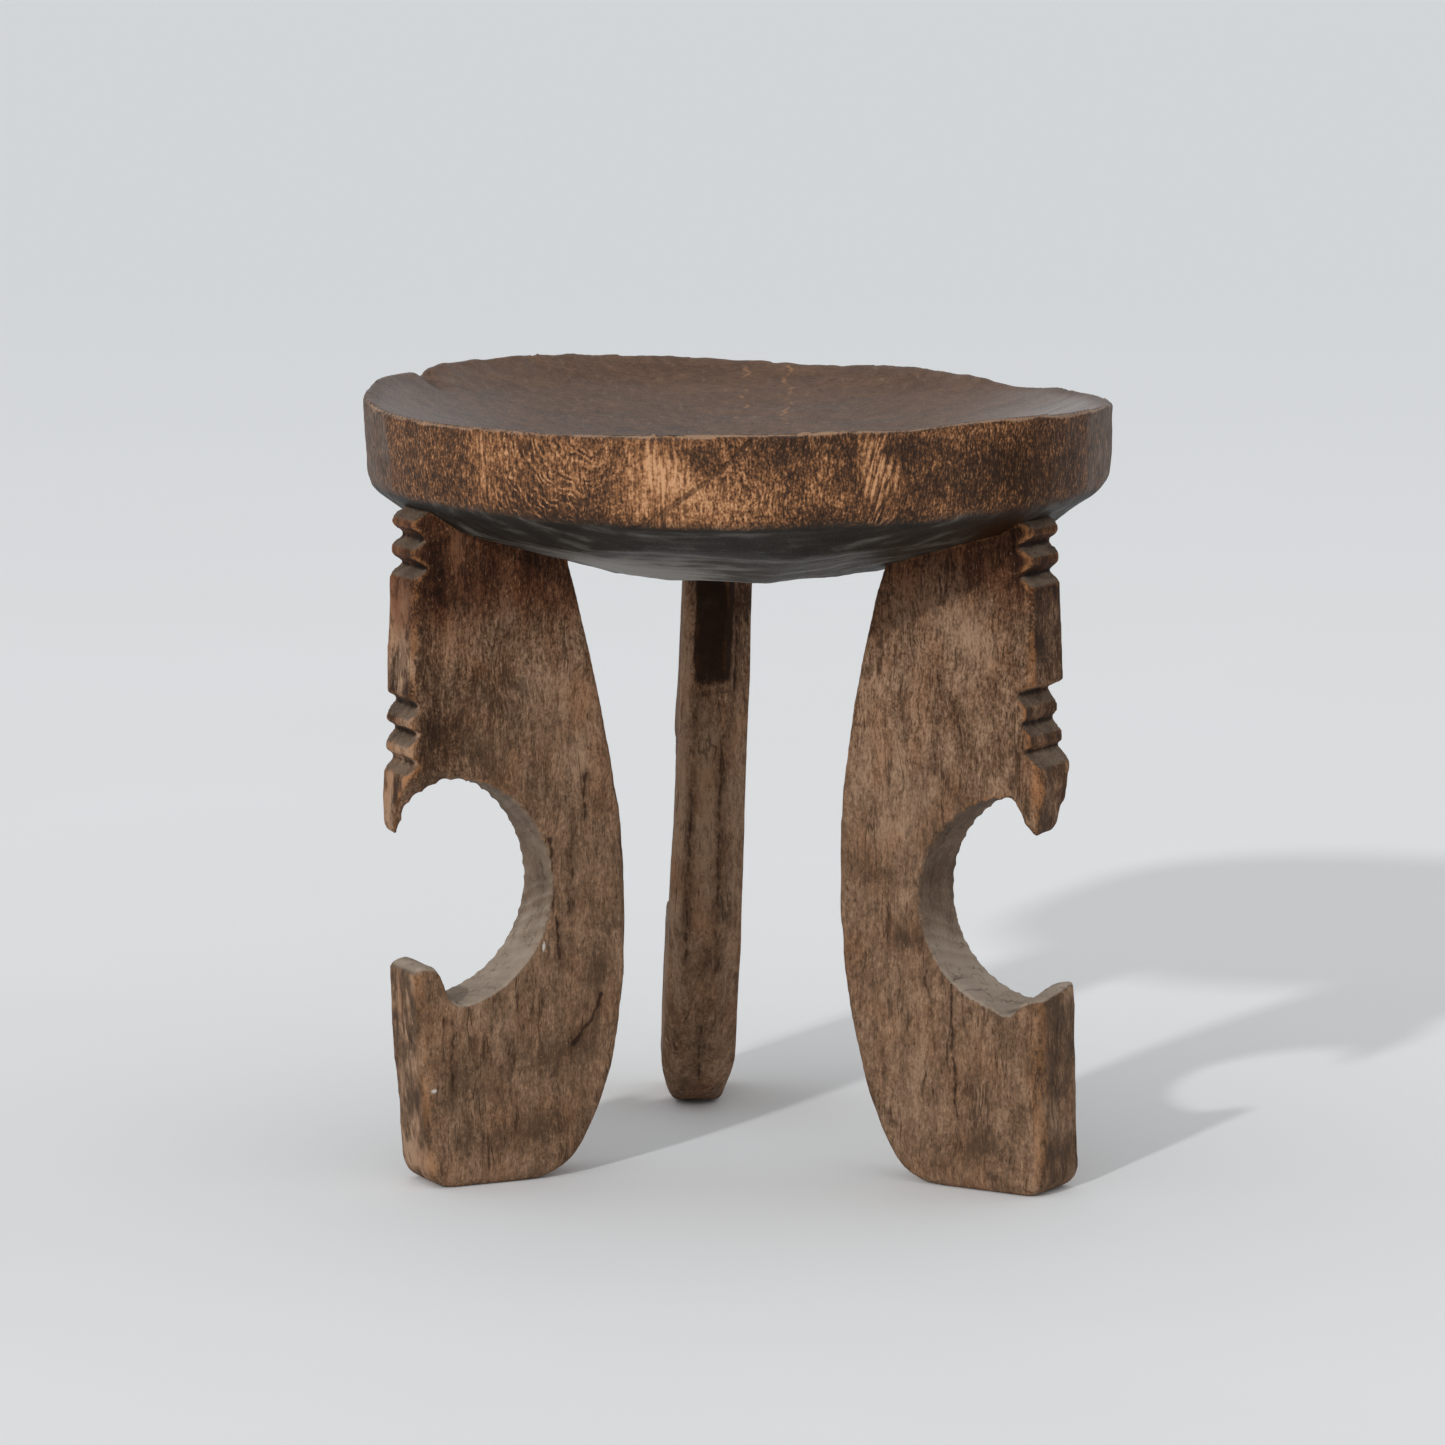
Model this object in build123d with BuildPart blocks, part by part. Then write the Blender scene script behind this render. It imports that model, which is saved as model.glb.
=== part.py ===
from build123d import *

import os
from dataclasses import dataclass
from math import cos, radians, sin, sqrt

# A low three-legged stool carved from hardwood: a round dished seat on three plank-like legs.
# The planks stand on edge, radially, under a shallow conical underside. Each has a bowed inner
# edge, two groups of notches in its outer edge, and a C-shaped opening below them that leaves a
# hanging spike above and a raised hook below.
#
# Millimetres, +Z up. The origin is on the floor, on the seat's vertical axis.
# -Y is the front, where two of the legs stand. The third is at the back.

# ---------------------------------------------------------------- seat
SEAT_RADIUS = 156.0  # of the round blank, at its top
RIM_HEIGHT = 322.0  # mean height of the rim above the floor, before its edge is eased
BLANK_TOP = RIM_HEIGHT + 14.0  # the blank before it is hollowed
WALL_FOOT_RADIUS = 150.5  # lower edge of the wall
WALL_FOOT_HEIGHT = 283.0
WALL_LEAN = 2.0  # the wall leans in by this much before it rounds into its lower edge
WALL_ROUND = 9.0  # height of that rounding
BEVEL_RADIUS = 133.0  # inner end of the steep bevel under the wall
BEVEL_HEIGHT = 272.0
BOSS_RADIUS = 62.0  # nearly level middle of the underside
BOSS_HEIGHT = 251.0
CENTRE_HEIGHT = 249.0

HOLLOW_HALF_DEPTH = 48.0  # vertical semi-axis of the hollow
HOLLOW_BOTTOM = 292.5
HOLLOW_NARROW = 164.0  # horizontal semi-axes: the rim rises where the hollow is narrower
HOLLOW_WIDE = 174.5
HOLLOW_TURN = -45.0  # direction of the narrow axis, degrees from +X
HOLLOW_SHIFT = 3.0  # the hollow is a little off centre, along +X and +Y alike
RIM_EASE = 1.5  # rounding of the rim's edge

# ---------------------------------------------------------------- legs
BULGE_HEIGHT = 130.0  # the outer edge runs straight down to here, then straight on to the floor
SHOULDER_HEIGHT = 257.0  # where the inner edge meets the seat
WAIST_HEIGHT = 117.0  # where the inner edge is nearest the axis
HEEL_HEIGHT = 21.0  # where the inner edge turns under towards the sole
SOLE_INSET = 9.0  # the flat sole stops this much short of the outer edge
LEG_EASE = 2.0  # bevel along the long edges, inner and outer

NOTCH_PITCH = 11.8
UPPER_NOTCH_HALF = 4.3  # half height of an upper notch's V at the outer edge
LOWER_NOTCH_DROP = 3.0  # a lower notch's lip slants down by this much as it goes in,
LOWER_NOTCH_LIP = 1.0  # and rises by this much outside the leg
LOWER_NOTCH_SLOPE = 1.1  # its lower face drops this much for each unit outward
NOTCHES_PER_GROUP = 3
PAST = 2.0  # cuts run out this far past the leg's outer edge

ARC_TOP_PAST = 3.0  # the opening's round part runs this far outward past its centre at the top
ARC_FOOT_SHORT = 8.0  # and stops this far inward of it at the bottom
SPIKE_WIDTH = 5.0  # radial width at the tip
SPIKE_FULLNESS = 1.5  # how tightly the opening turns from its round part down beside the spike
HOOK_WIDTH = 11.0  # radial width of the raised hook below the opening
HOOK_EASE = 5.0  # its top slopes up over this much of that width,
HOOK_SLOPE = 3.0  # by this much

# ---------------------------------------------------------------- joints
JOINT_GAP = 0.1  # between a leg's shoulder and the seat
TENON_INNER = 95.0  # the tenon spans these radii
TENON_OUTER = 135.0
TENON_THICKNESS = 16.0
TENON_TOP = 288.0
TENON_SIDE_GAP = 0.1  # all round
TENON_END_GAP = 1.0


@dataclass(frozen=True)
class LegSize:
    """What differs from leg to leg. Radii are from the leg's hub, which lies near the seat's axis."""

    name: str
    azimuth: float  # of the leg's plane, degrees from +X
    hub_x: float
    outer_top: float  # radius of the outer edge under the seat,
    outer_bulge: float  # level with the opening
    outer_foot: float  # and at the floor
    inner_top: float  # radius of the inner edge where it meets the seat,
    inner_waist: float  # at its most bowed point
    inner_heel: float  # where it turns under
    inner_sole: float  # and where the flat sole begins
    top_thickness: float
    foot_thickness: float
    foot_shift: float  # the foot leans this far sideways
    upper_notch: float  # height of the first notch under the seat
    notch_depth: float
    lower_notch: float  # height of the first lower notch's lip,
    lower_depth: float  # and its depth;
    depth_step: float  # each next one is this much shallower,
    block_inset: float  # and the first block below is cut this far short
    cut_radius: float  # the C-shaped opening: radius,
    cut_inset: float  # its centre's distance in from the outer edge
    cut_height: float  # and its centre's height
    spike_tip: float  # height of the spike's tip
    hook_top: float  # height of the hook

    def outer(self, height):
        """Radius of the outer edge at a height."""
        if height < BULGE_HEIGHT:
            share = height / BULGE_HEIGHT
            return self.outer_foot + (self.outer_bulge - self.outer_foot) * share
        share = (height - BULGE_HEIGHT) / (WALL_FOOT_HEIGHT - BULGE_HEIGHT)
        return self.outer_bulge + (self.outer_top - self.outer_bulge) * share

    @property
    def hub(self):
        return Vector(self.hub_x, 0, 0)

    @property
    def outward(self):
        return Vector(cos(radians(self.azimuth)), sin(radians(self.azimuth)), 0)

    @property
    def sideways(self):
        return Vector(-self.outward.Y, self.outward.X, 0)

    @property
    def broadside(self):
        """Plane of the leg's outline: x outward, y up."""
        return Plane(origin=self.hub, x_dir=self.outward, z_dir=-self.sideways)

    @property
    def edge_on(self):
        """Plane of the leg's thickness: x sideways, y up."""
        return Plane(origin=self.hub, x_dir=self.sideways, z_dir=self.outward)

    def tenon_plane(self, height):
        """Level plane centred on the tenon: x outward."""
        middle = self.hub + self.outward * ((TENON_INNER + TENON_OUTER) / 2)
        return Plane(origin=middle + Vector(0, 0, height), x_dir=self.outward, z_dir=(0, 0, 1))


LEGS = (
    LegSize(
        name="leg_left", azimuth=206.0, hub_x=0.0,
        outer_top=152.5, outer_bulge=158.0, outer_foot=147.5,
        inner_top=84.0, inner_waist=58.0, inner_heel=74.0, inner_sole=104.0,
        top_thickness=24.0, foot_thickness=32.0, foot_shift=0.0,
        upper_notch=280.2, notch_depth=6.5,
        lower_notch=204.8, lower_depth=5.6, depth_step=0.3, block_inset=0.0,
        cut_radius=47.0, cut_inset=18.0, cut_height=123.0, spike_tip=149.5, hook_top=92.5,
    ),
    LegSize(
        name="leg_right", azimuth=328.0, hub_x=0.0,
        outer_top=146.0, outer_bulge=153.5, outer_foot=157.0,
        inner_top=78.0, inner_waist=57.0, inner_heel=78.5, inner_sole=107.0,
        top_thickness=24.0, foot_thickness=32.0, foot_shift=0.0,
        upper_notch=278.5, notch_depth=6.5,
        lower_notch=211.0, lower_depth=9.0, depth_step=1.8, block_inset=3.6,
        cut_radius=44.0, cut_inset=13.0, cut_height=120.5, spike_tip=149.5, hook_top=86.0,
    ),
    LegSize(
        name="leg_rear", azimuth=91.0, hub_x=-2.7,
        outer_top=149.0, outer_bulge=154.5, outer_foot=152.0,
        inner_top=81.0, inner_waist=58.0, inner_heel=80.0, inner_sole=114.0,
        top_thickness=27.5, foot_thickness=32.0, foot_shift=13.4,
        upper_notch=279.5, notch_depth=6.5,
        lower_notch=207.0, lower_depth=7.0, depth_step=0.8, block_inset=1.0,
        cut_radius=45.0, cut_inset=15.0, cut_height=120.0, spike_tip=148.0, hook_top=82.0,
    ),
)


def underside(gap):
    """Half outline of the seat from the axis out to the foot of its wall, lowered by a gap."""
    return [
        (0, CENTRE_HEIGHT - gap),
        (BOSS_RADIUS, BOSS_HEIGHT - gap),
        (BEVEL_RADIUS, BEVEL_HEIGHT - gap),
        (WALL_FOOT_RADIUS, WALL_FOOT_HEIGHT - gap),
    ]


# ---------------------------------------------------------------- the hollow's cutter
with BuildPart() as hollow:
    Sphere(1)
    scale(by=(HOLLOW_NARROW, HOLLOW_WIDE, HOLLOW_HALF_DEPTH))

# ---------------------------------------------------------------- seat
with BuildPart() as seat:
    with BuildSketch(Plane.XZ):
        with BuildLine():
            Polyline(*underside(0))
            wall_start = (SEAT_RADIUS - WALL_LEAN, WALL_FOOT_HEIGHT + WALL_ROUND)
            wall = Line(wall_start, (SEAT_RADIUS, BLANK_TOP))
            TangentArc(wall_start, (WALL_FOOT_RADIUS, WALL_FOOT_HEIGHT), tangent=-(wall % 0))
            Polyline((SEAT_RADIUS, BLANK_TOP), (0, BLANK_TOP), (0, CENTRE_HEIGHT))
        make_face()
    revolve(axis=Axis.Z)

    hollow_centre = (HOLLOW_SHIFT, HOLLOW_SHIFT, HOLLOW_BOTTOM + HOLLOW_HALF_DEPTH)
    with Locations(Location(hollow_centre, (0, 0, HOLLOW_TURN))):
        add(hollow.part, mode=Mode.SUBTRACT)
    fillet(seat.edges().sort_by(Axis.Z)[-1], RIM_EASE)

    for size in LEGS:
        with BuildSketch(size.tenon_plane(CENTRE_HEIGHT)):
            Rectangle(
                TENON_OUTER - TENON_INNER + 2 * TENON_SIDE_GAP,
                TENON_THICKNESS + 2 * TENON_SIDE_GAP,
            )
        extrude(amount=TENON_TOP + TENON_END_GAP - CENTRE_HEIGHT, mode=Mode.SUBTRACT)
seat.part.label = "seat"

# ---------------------------------------------------------------- room the seat takes from a leg
with BuildPart() as seat_room:
    with BuildSketch(Plane.XZ):
        with BuildLine():
            Polyline(
                *underside(JOINT_GAP),
                (2 * SEAT_RADIUS, WALL_FOOT_HEIGHT - JOINT_GAP),
                (2 * SEAT_RADIUS, BLANK_TOP),
                (0, BLANK_TOP),
                close=True,
            )
        make_face()
    revolve(axis=Axis.Z)


def leg_outline(size):
    """Outline of the uncut leg, run up past the seat's underside."""
    sole_inner = (size.inner_sole, 0)
    sole_outer = (size.outer(0) - SOLE_INSET, 0)
    toe = (size.outer(SOLE_INSET), SOLE_INSET)
    bulge = (size.outer_bulge, BULGE_HEIGHT)
    outer_top = (size.outer(BLANK_TOP), BLANK_TOP)
    inner_top = (size.inner_top, SHOULDER_HEIGHT)
    with BuildLine() as outline:
        Spline(
            inner_top,
            (size.inner_waist, WAIST_HEIGHT),
            (size.inner_heel, HEEL_HEIGHT),
            sole_inner,
            tangents=((-0.3, -1), (1, 0)),
        )
        Line(sole_inner, sole_outer)
        TangentArc(sole_outer, toe, tangent=(1, 0))
        Polyline(toe, bulge, outer_top, (size.inner_top, BLANK_TOP), inner_top)
    return outline


def opening_outline(size):
    """The C-shaped opening, with its mouth carried out past the leg's outer edge."""
    spike = size.outer(size.spike_tip)
    hook = size.outer(size.hook_top)
    past = max(spike, hook) + PAST
    radius = size.cut_radius
    centre = size.outer(size.cut_height) - size.cut_inset
    upper_rise = sqrt(radius**2 - ARC_TOP_PAST**2)
    lower_drop = sqrt(radius**2 - ARC_FOOT_SHORT**2)
    upper = (centre + ARC_TOP_PAST, size.cut_height + upper_rise)
    lower = (centre - ARC_FOOT_SHORT, size.cut_height - lower_drop)
    spike_inner = (spike - SPIKE_WIDTH, size.spike_tip)
    hook_inner = (hook - HOOK_WIDTH, size.hook_top - HOOK_SLOPE)
    hook_tip = (hook - HOOK_WIDTH + HOOK_EASE, size.hook_top)
    with BuildLine() as outline:
        round_cut = ThreePointArc(upper, (centre - radius, size.cut_height), lower)
        Spline(lower, hook_inner, tangents=(round_cut % 1, (0.5, 1)))
        Polyline(
            hook_inner,
            hook_tip,
            (past, size.hook_top),
            (past, size.spike_tip),
            spike_inner,
        )
        Spline(
            spike_inner,
            upper,
            tangents=((-0.1, 1), -(round_cut % 0)),
            tangent_scalars=(SPIKE_FULLNESS, SPIKE_FULLNESS),
        )
    return outline


def upper_notch(size, index):
    """An even V."""
    height = size.upper_notch - index * NOTCH_PITCH
    outer = size.outer(height)
    reach = UPPER_NOTCH_HALF * (size.notch_depth + PAST) / size.notch_depth
    return [
        (outer - size.notch_depth, height),
        (outer + PAST, height + reach),
        (outer + PAST, height - reach),
    ]


def lower_notch(size, index):
    """A V whose lip slants down as it goes in. It also trims the block below it."""
    height = size.lower_notch - index * NOTCH_PITCH
    outer = size.outer(height)
    depth = size.lower_depth - index * size.depth_step
    inset = size.block_inset * (1 - index / (NOTCHES_PER_GROUP - 1))
    apex_height = height - LOWER_NOTCH_DROP
    block_top = apex_height - LOWER_NOTCH_SLOPE * (depth - inset)
    outline = [(outer - depth, apex_height), (outer + PAST, height + LOWER_NOTCH_LIP)]
    if inset > 0:
        block_foot = height - NOTCH_PITCH - LOWER_NOTCH_DROP
        return outline + [
            (outer + PAST, block_foot),
            (outer - inset, block_foot),
            (outer - inset, block_top),
        ]
    return outline + [(outer + PAST, block_top - LOWER_NOTCH_SLOPE * PAST)]


def build_leg(size):
    with BuildPart() as leg:
        with BuildSketch(size.broadside):
            add(leg_outline(size).line)
            make_face()
        extrude(amount=size.foot_thickness, both=True)

        # The plank tapers upwards and may lean sideways.
        with BuildSketch(size.edge_on):
            Polygon(
                (size.foot_shift - size.foot_thickness / 2, 0),
                (size.foot_shift + size.foot_thickness / 2, 0),
                (size.top_thickness / 2, BLANK_TOP),
                (-size.top_thickness / 2, BLANK_TOP),
                align=None,
            )
        extrude(amount=2 * SEAT_RADIUS, mode=Mode.INTERSECT)

        # Ease the long edges before anything is cut into them.
        edge_faces = leg.faces().filter_by(lambda f: abs(f.normal_at().dot(size.outward)) > 0.9)
        long_edges = edge_faces.edges().filter_by(lambda e: e.length > WAIST_HEIGHT)
        chamfer(long_edges, LEG_EASE)

        with BuildSketch(size.broadside):
            add(opening_outline(size).line)
            make_face()
        extrude(amount=size.foot_thickness, both=True, mode=Mode.SUBTRACT)

        add(seat_room.part, mode=Mode.SUBTRACT)

        with BuildSketch(size.broadside):
            for index in range(NOTCHES_PER_GROUP):
                Polygon(*upper_notch(size, index), align=None)
                Polygon(*lower_notch(size, index), align=None)
        extrude(amount=size.foot_thickness, both=True, mode=Mode.SUBTRACT)

        with BuildSketch(size.tenon_plane(CENTRE_HEIGHT)):
            Rectangle(TENON_OUTER - TENON_INNER, TENON_THICKNESS)
        extrude(amount=TENON_TOP - CENTRE_HEIGHT)
    leg.part.label = size.name
    return leg


legs = [build_leg(size) for size in LEGS]

os.makedirs("parts", exist_ok=True)
export_step(seat.part, "parts/seat.step")
for leg in legs:
    export_step(leg.part, f"parts/{leg.part.label}.step")
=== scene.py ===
from dataclasses import dataclass
from itertools import product
from math import pi
from typing import Callable

import bpy
import numpy as np
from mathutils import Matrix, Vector


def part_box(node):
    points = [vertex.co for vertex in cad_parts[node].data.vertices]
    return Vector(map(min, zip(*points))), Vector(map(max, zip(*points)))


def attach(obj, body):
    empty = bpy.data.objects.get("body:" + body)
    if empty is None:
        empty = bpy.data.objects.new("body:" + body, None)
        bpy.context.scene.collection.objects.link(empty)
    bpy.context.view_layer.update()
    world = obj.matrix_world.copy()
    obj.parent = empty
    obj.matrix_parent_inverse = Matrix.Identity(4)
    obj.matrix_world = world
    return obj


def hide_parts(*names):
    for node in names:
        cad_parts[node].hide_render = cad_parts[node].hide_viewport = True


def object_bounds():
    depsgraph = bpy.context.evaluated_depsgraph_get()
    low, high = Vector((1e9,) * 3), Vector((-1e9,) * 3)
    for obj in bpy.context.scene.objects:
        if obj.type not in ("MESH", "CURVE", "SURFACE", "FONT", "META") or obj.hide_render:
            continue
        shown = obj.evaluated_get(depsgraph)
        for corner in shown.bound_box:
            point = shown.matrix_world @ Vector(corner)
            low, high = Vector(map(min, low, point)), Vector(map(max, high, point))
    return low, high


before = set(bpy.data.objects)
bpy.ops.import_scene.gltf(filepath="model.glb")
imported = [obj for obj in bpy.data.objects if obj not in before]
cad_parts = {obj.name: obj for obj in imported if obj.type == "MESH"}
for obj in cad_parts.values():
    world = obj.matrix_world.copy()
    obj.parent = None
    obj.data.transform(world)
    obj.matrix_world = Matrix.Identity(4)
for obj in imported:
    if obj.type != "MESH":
        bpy.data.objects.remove(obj)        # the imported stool: metres, +Z up, -Y to the front
cad_low, cad_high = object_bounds()

# The scene is in metres. Carving and pattern sizes below are in millimetres. The factor before a
# ripple is its height or strength, and the last value given to it is its seed.
MM = 0.001

# ---------------------------------------------------------------- meshes and measures
SEAT_VOXEL = 1.63  # size of the seat's mesh cells
LEG_VOXEL = 0.94
LEG_BURY = 1.3  # a leg's shoulder runs this far up into the seat, so that no joint shows

seat_low, seat_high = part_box("seat")
SEAT_RADIUS = (seat_high.x - seat_low.x) / 2 / MM
RIM_TOP = seat_high.z / MM
WALL_FOOT = RIM_TOP - 41.0  # height of the wall's lower edge

FAR = 30.0  # stands for any greater distance from a crack

# ---------------------------------------------------------------- what is placed on the seat
FACETS = 11  # flat facets round the underside
UNDER_SLOPE = 0.3  # how much a facet's corners are lowered, for each unit they stand out
# Each: bearing in degrees, reach, and how far the rim rises there.
RIM_SHAPE = (
    (151.5, 1.8, -2.6), (168, 10, 1.5), (58, 12, 1.2), (39, 5, -1.4), (26.5, 4, 1.4), (-65, 7, -1.0),
)
# A drying crack runs down across the front of the wall.
CRACK = ((4, 36), (-5, 26), (-18, 16), (-37, 4), (-48, 0))
# Where the wall's surface has worn to bright wood, or kept its dark skin. Each: place along the
# wall, height, how far it reaches each way, and how much is bared.
BARED = (
    (-32, 22, 14, 14, 1.0), (-90, 26, 32, 12, 0.3), (-112, 20, 5, 14, 0.3), (-4, 12, 22, 11, 0.55),
    (-48, 8, 9, 6, 0.3), (57, 24, 7, 15, 0.65), (34, 14, 9, 8, 0.15), (20, 34, 26, 5, -0.35),
    (-15, 28, 5, 6, -0.5), (-75, 3, 26, 5, -0.4), (88, 20, 24, 12, -0.2), (36, 5, 14, 5, -0.4),
    (125, 18, 34, 16, -0.4), (75, 33, 12, 4, -0.3), (-140, 20, 14, 20, -0.1), (85, 37, 16, 3, 0.35),
    (46, 26, 3, 12, -0.3), (69, 26, 4, 12, -0.35), (170, 20, 30, 20, -0.25),
)
SWIRL = (-62.0, 36.0)  # place along the wall and height of the middle of the ring marks
SLANTED = 57.0  # place along the wall of the slanting strokes
# Upright tool strokes on the wall. Each: place along the wall, and reach.
STROKES = ((-32, 15), (SLANTED, 9))

# ---------------------------------------------------------------- what is placed on the legs
GOUGE_PITCH = 6.6  # of the gouge marks round each leg's opening
# Dark cracks and veins on the front of each front leg. Each: how faint it is, then its points as
# distance from the axis and height.
LEFT_VEINS = (
    (0.0, ((93, 143), (92, 130), (91, 112))), (0.1, ((90, 110), (88, 92))),
    (0.1, ((76, 170), (78.5, 162), (77.5, 151))), (0.0, ((70, 76), (75, 65), (84, 56))),
    (0.5, ((122, 58), (121, 41))), (0.6, ((98, 55), (98, 44))), (0.6, ((113, 60), (112, 47))),
    (0.4, ((138, 70), (137, 40))), (0.7, ((128, 40), (116, 39))), (0.5, ((84, 150), (84, 112))),
)
RIGHT_VEINS = (
    (0.1, ((113, 88), (113.5, 63), (114.5, 30))), (0.5, ((119, 83), (120, 66))),
    (0.5, ((101, 96), (102, 70))), (0.6, ((88, 215), (88, 185))), (0.6, ((104, 190), (104, 172))),
)
# On the rear leg's inner edge the points are distance from the leg's middle plane and height.
REAR_VEINS = (
    (0.4, ((-8.5, 152), (-9, 100), (-8, 60))), (0.45, ((4.5, 168), (3.5, 130), (4, 96))),
    (0.4, ((8, 224), (8.5, 180))), (0.3, ((0, 40), (1, 14))), (0.6, ((-8, 186), (8, 186))),
)
# Dark and pale patches. Each: place, height, reach each way, and how much paler.
LEFT_PATCHES = (
    (78, 195, 18, 32, 0.3), (145, 200, 14, 40, -0.3), (136, 228, 9, 12, 0.3), (148, 262, 12, 14, -0.4),
    (62, 224, 8, 34, -0.5), (84, 56, 9, 5, -0.5), (138, 45, 7, 14, -0.35), (118, 200, 12, 30, -0.1),
    (100, 22, 30, 8, -0.3), (128, 8, 24, 7, 0.15), (134, 266, 4, 9, 0.7), (141, 252, 5, 10, -0.4),
    (112, 250, 5, 14, 0.3), (105, 250, 34, 16, -0.16), (95, 51, 6, 5, -0.3), (72, 88, 5, 8, -0.45),
    (146, 190, 5, 5, -0.5), (120, 175, 30, 30, -0.15),
)
RIGHT_PATCHES = (
    (80, 180, 22, 40, 0.35), (115, 228, 22, 14, 0.3), (142, 262, 8, 18, -0.45),
    (100, 246, 16, 9, 0.2), (90, 102, 6, 4, -0.6), (77, 127, 9, 5, -0.4), (130, 19, 14, 6, -0.4),
    (151, 56, 3, 6, -0.5), (125, 205, 12, 26, 0.05), (90, 225, 10, 12, -0.2), (95, 60, 20, 20, 0.15),
)
REAR_PATCHES = (
    (-2, 132, 4.5, 46, 0.55), (-13, 150, 3.5, 80, 0.6), (12, 130, 4, 110, 0.25), (-9, 150, 2, 60, -0.2),
    (0, 30, 12, 20, -0.1), (6, 140, 2, 60, -0.25), (12, 222, 5, 10, -0.5),
)
# Small white splashes. Each: place, height, and reach each way.
LEFT_SPECKS = ((146.5, 41.5, 1.5, 1.0), (96, 98, 0.9, 2.4))
# The seat's shadow, painted dark and sharp-edged at the top of the rear leg's inner edge.
SEAT_SHADOW_MIDDLE = -1.5
SEAT_SHADOW_HALF = 7.7
SEAT_SHADOW_FOOT = 190.5


def lattice(cells, seed):
    """A repeatable value from -1 to 1 for each whole-numbered cell."""
    keys = cells.astype(np.int64).astype(np.uint32)
    mixed = keys[:, 0] * np.uint32(374761393) + keys[:, 1] * np.uint32(668265263)
    mixed += keys[:, 2] * np.uint32(2246822519) + np.uint32(seed * 97 + 13)
    for shift in (13, 15, 16):
        mixed = (mixed ^ (mixed >> np.uint32(shift))) * np.uint32(1274126177)
    return mixed.astype(float) / 2**31 - 1


def ripple(points, size, seed):
    """Smooth noise from -1 to 1. size is the length of one bump, or one length for each axis."""
    scaled = points / np.array(size) + 0.37 * seed
    cell = np.floor(scaled)
    share = scaled - cell
    share = share * share * (3 - 2 * share)
    total = np.zeros(len(points))
    for corner in product((0, 1), repeat=3):
        weight = np.prod(np.where(np.array(corner) == 1, share, 1 - share), axis=1)
        total += weight * lattice(cell + corner, seed)
    return total


def rise(values, start, end):
    """0 before start, 1 after end, turning smoothly between them. start may be above end."""
    share = np.clip((values - start) / (end - start), 0, 1)
    return share * share * (3 - 2 * share)


def hump(values, centre, reach):
    """1 at the centre, falling smoothly to 0 at about twice the reach."""
    return np.exp(-(((values - centre) / reach) ** 2))


def from_line(across, height, line):
    """Each place's distance from a line of joined points, but at most FAR."""
    nearest = np.full(len(across), FAR)
    place = np.stack((across, height), axis=1)
    for start, end in zip(np.array(line[:-1], float), np.array(line[1:], float)):
        way = end - start
        share = np.clip((place - start) @ way / (way @ way), 0, 1)
        nearest = np.minimum(nearest, np.linalg.norm(place - start - np.outer(share, way), axis=1))
    return nearest


class Carving:
    """A finely meshed copy of a CAD node, worked by moving its vertices. Millimetres."""

    def __init__(self, node, name, voxel):
        self.node, self.voxel = node, voxel
        self.piece = bpy.data.objects.new(name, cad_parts[node].data.copy())
        bpy.context.scene.collection.objects.link(self.piece)
        self.remesh()

    def remesh(self):
        """Meshes the piece afresh, evenly and in one closed skin."""
        modifier = self.piece.modifiers.new("grain", "REMESH")
        modifier.mode = "VOXEL"
        modifier.voxel_size = self.voxel * MM
        modifier.use_smooth_shade = True
        graph = bpy.context.evaluated_depsgraph_get()
        made = bpy.data.meshes.new_from_object(self.piece.evaluated_get(graph))
        self.piece.modifiers.clear()
        self.piece.data = made
        made.materials.clear()
        self.points = np.empty(len(made.vertices) * 3)
        made.vertices.foreach_get("co", self.points)
        self.points = self.points.reshape(-1, 3) / MM
        ends = np.empty(len(made.edges) * 2, dtype=np.int64)
        made.edges.foreach_get("vertices", ends)
        ends = ends.reshape(-1, 2)
        self.here = np.concatenate((ends[:, 0], ends[:, 1]))
        self.near = np.concatenate((ends[:, 1], ends[:, 0]))
        self.count = np.bincount(self.here, minlength=len(self.points))

    def write(self):
        self.piece.data.vertices.foreach_set("co", (self.points * MM).ravel())
        self.piece.data.update()

    def settle(self):
        """Takes the moved vertices over into a fresh mesh."""
        self.write()
        self.remesh()

    def normals(self):
        self.write()
        found = np.empty(len(self.points) * 3)
        self.piece.data.vertex_normals.foreach_get("vector", found)
        return found.reshape(-1, 3)

    def spread(self, values, turns, share=0.5):
        """Values drawn towards the mean of their neighbours', so many times over."""
        table = values.reshape(len(self.points), -1).copy()
        for _ in range(turns):
            for column in table.T:
                mean = np.bincount(self.here, column[self.near], len(column)) / self.count
                column += share * (mean - column)
        return table.reshape(values.shape)

    def swell(self, heights):
        """Moves the surface outward by so much at each vertex."""
        self.points += self.normals() * heights[:, None]

    def mark(self, name, values):
        """Keeps a value at each vertex for the material to read."""
        attribute = self.piece.data.attributes.new(name, "FLOAT", "POINT")
        attribute.data.foreach_set("value", values.astype(np.float32))

    def mark_relief(self):
        """How far each vertex stands above its smoothed surroundings: edges are positive."""
        turns = round(9 / self.voxel)
        stand = (self.points - self.spread(self.points, turns)) * self.normals()
        self.mark("relief", self.spread(stand.sum(axis=1), 1))

    def wander(self):
        """The unevenness of handwork. Neighbouring pieces share it, so they still meet."""
        drift = [ripple(self.points, 34, seed) * 0.55 for seed in (1, 2, 3)]
        self.points += np.stack(drift, axis=1) * rise(self.points[:, 2], 0, 25)[:, None]

    def finish(self, slot):
        self.write()
        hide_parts(self.node)
        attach(self.piece, "root")


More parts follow.
